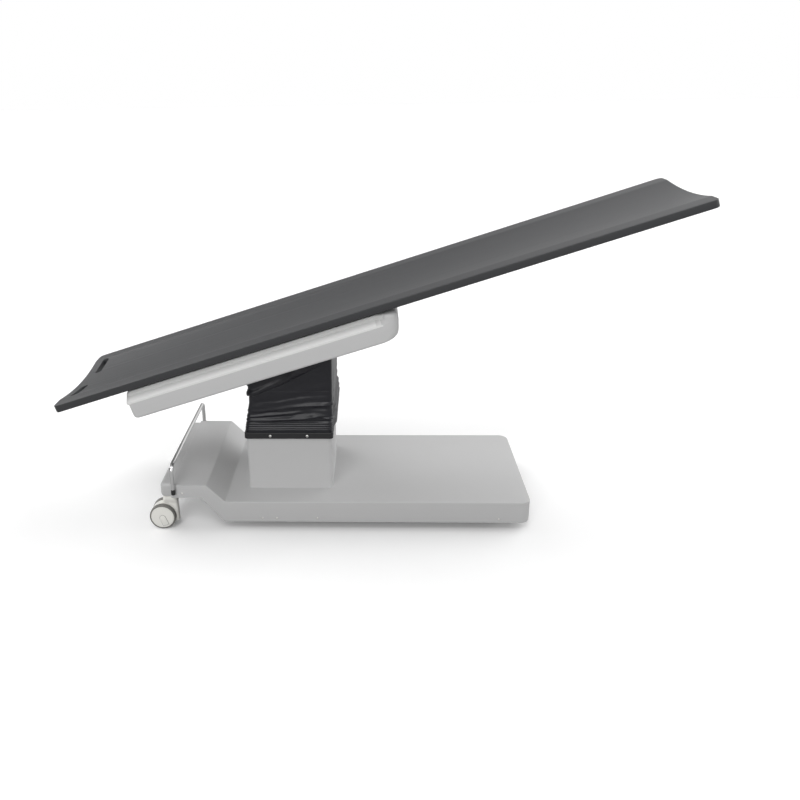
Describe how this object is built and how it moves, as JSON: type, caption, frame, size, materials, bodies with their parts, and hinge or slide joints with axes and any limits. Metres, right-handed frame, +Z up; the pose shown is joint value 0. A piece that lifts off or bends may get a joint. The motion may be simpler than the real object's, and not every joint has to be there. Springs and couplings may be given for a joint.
{
  "type": "radiography table",
  "caption": "Mobile radiography table: dished carbon tabletop on a tilting deck, lifting column with cloth skirt, low stepped base with swivel casters and brake bar.",
  "frame": {"origin": "on the floor, under the middle of the whole object", "axes": "+X along the table towards its raised end, +Y across to the side away from the picture's viewer, +Z up"},
  "size_m": [2.2041, 0.611, 1.1745],
  "materials": {
    "base_paint": "satin",
    "deck_shell": "satin",
    "frame_steel": "matte",
    "zinc_steel": "satin",
    "bright_steel": "polished",
    "column_aluminium": "anodised",
    "glide_plastic": "matte",
    "drive_paint": "satin",
    "black_plastic": "matte",
    "black_band": "satin",
    "skirt_cloth": "coated",
    "bush_bronze": "satin",
    "pad_rubber": "matte",
    "carbon_panel": "satin",
    "caster_plastic": "semi-gloss",
    "caster_tyre": "matte"
  },
  "bodies": {
    "base": {"base_cover": "base_paint", "chassis": "frame_steel", "chassis_rails": "frame_steel", "end_beam": "base_paint", "caster_sockets": "zinc_steel", "column_cover": "base_paint", "column_outer": "column_aluminium", "outer_pads": "glide_plastic", "lift_drive": "drive_paint", "battery_pack": "black_plastic", "control_box": "drive_paint", "mains_inlet": "black_plastic", "cover_screws": "bright_steel", "skirt_band": "black_band", "band_screws": "bright_steel", "rear_brackets": "frame_steel", "rear_axles": "bright_steel", "skirt_lower": "skirt_cloth"},
    "brake": {"brake_bar": "bright_steel", "brake_sleeves": "black_plastic", "brake_shaft": "zinc_steel"},
    "column_stage": {"column_middle": "column_aluminium", "middle_pads": "glide_plastic"},
    "column_top": {"column_inner": "column_aluminium", "lift_rod": "bright_steel", "column_head": "frame_steel", "tilt_bushes": "bush_bronze", "tilt_gearmotor": "drive_paint", "skirt_frame": "zinc_steel"},
    "table": {"tilt_shaft": "bright_steel", "saddle": "frame_steel", "deck_rails": "frame_steel", "deck_crossbeams": "frame_steel", "housing_lower": "deck_shell", "housing_upper": "deck_shell", "tabletop_pads": "pad_rubber", "tabletop": "carbon_panel", "skirt_upper": "skirt_cloth", "skirt_top_frame": "zinc_steel"},
    "caster_front": {"caster_front_body": "caster_plastic", "caster_front_axle": "zinc_steel", "caster_front_caps": "caster_plastic"},
    "caster_front_wheel_outer": {"caster_front_rim_outer": "caster_plastic", "caster_front_tyre_outer": "caster_tyre"},
    "caster_front_wheel_inner": {"caster_front_rim_inner": "caster_plastic", "caster_front_tyre_inner": "caster_tyre"},
    "rear_wheel_front": {"rear_front_rim": "caster_plastic", "rear_front_tyre": "caster_tyre"},
    "caster_back": {"caster_back_body": "caster_plastic", "caster_back_axle": "zinc_steel", "caster_back_caps": "caster_plastic"},
    "caster_back_wheel_outer": {"caster_back_rim_outer": "caster_plastic", "caster_back_tyre_outer": "caster_tyre"},
    "caster_back_wheel_inner": {"caster_back_rim_inner": "caster_plastic", "caster_back_tyre_inner": "caster_tyre"},
    "rear_wheel_back": {"rear_back_rim": "caster_plastic", "rear_back_tyre": "caster_tyre"}
  },
  "joints": [
    {"name": "column_lift", "type": "slide", "parent": "base", "child": "column_top", "axis": [0, 0, 1], "range_m": [-0.1, 0.2], "deforming": ["skirt_lower"]},
    {"name": "column_stage_lift", "type": "slide", "parent": "base", "child": "column_stage", "axis": [0, 0, 1], "range_m": [-0.05, 0.1]},
    {"name": "table_tilt", "type": "hinge", "parent": "column_top", "child": "table", "pos_m": [-0.28469, 0, 0.637], "axis": [0, -1, 0], "range_deg": [-37.6, 2.4], "deforming": ["skirt_upper"]},
    {"name": "brake_bar_turn", "type": "hinge", "parent": "base", "child": "brake", "pos_m": [-0.69569, 0, 0.156], "axis": [0, 1, 0], "range_deg": [-25, 25]},
    {"name": "caster_front_swivel", "type": "hinge", "parent": "base", "child": "caster_front", "pos_m": [-0.72769, -0.249, 0.1], "axis": [0, 0, 1], "continuous": true},
    {"name": "caster_front_outer_spin", "type": "hinge", "parent": "caster_front", "child": "caster_front_wheel_outer", "pos_m": [-0.74769, -0.249, 0.0475], "axis": [0, 1, 0], "continuous": true},
    {"name": "caster_front_inner_spin", "type": "hinge", "parent": "caster_front", "child": "caster_front_wheel_inner", "pos_m": [-0.74769, -0.249, 0.0475], "axis": [0, 1, 0], "continuous": true},
    {"name": "caster_back_swivel", "type": "hinge", "parent": "base", "child": "caster_back", "pos_m": [-0.72769, 0.249, 0.1], "axis": [0, 0, 1], "continuous": true},
    {"name": "caster_back_outer_spin", "type": "hinge", "parent": "caster_back", "child": "caster_back_wheel_outer", "pos_m": [-0.74769, 0.249, 0.0475], "axis": [0, 1, 0], "continuous": true},
    {"name": "caster_back_inner_spin", "type": "hinge", "parent": "caster_back", "child": "caster_back_wheel_inner", "pos_m": [-0.74769, 0.249, 0.0475], "axis": [0, 1, 0], "continuous": true},
    {"name": "rear_wheel_front_spin", "type": "hinge", "parent": "base", "child": "rear_wheel_front", "pos_m": [0.47531, -0.215, 0.04], "axis": [0, 1, 0], "continuous": true},
    {"name": "rear_wheel_back_spin", "type": "hinge", "parent": "base", "child": "rear_wheel_back", "pos_m": [0.47531, 0.215, 0.04], "axis": [0, 1, 0], "continuous": true}
  ],
  "couplings": [
    {"joint": "column_stage_lift", "follows": "column_lift", "ratio": 0.5}
  ]
}
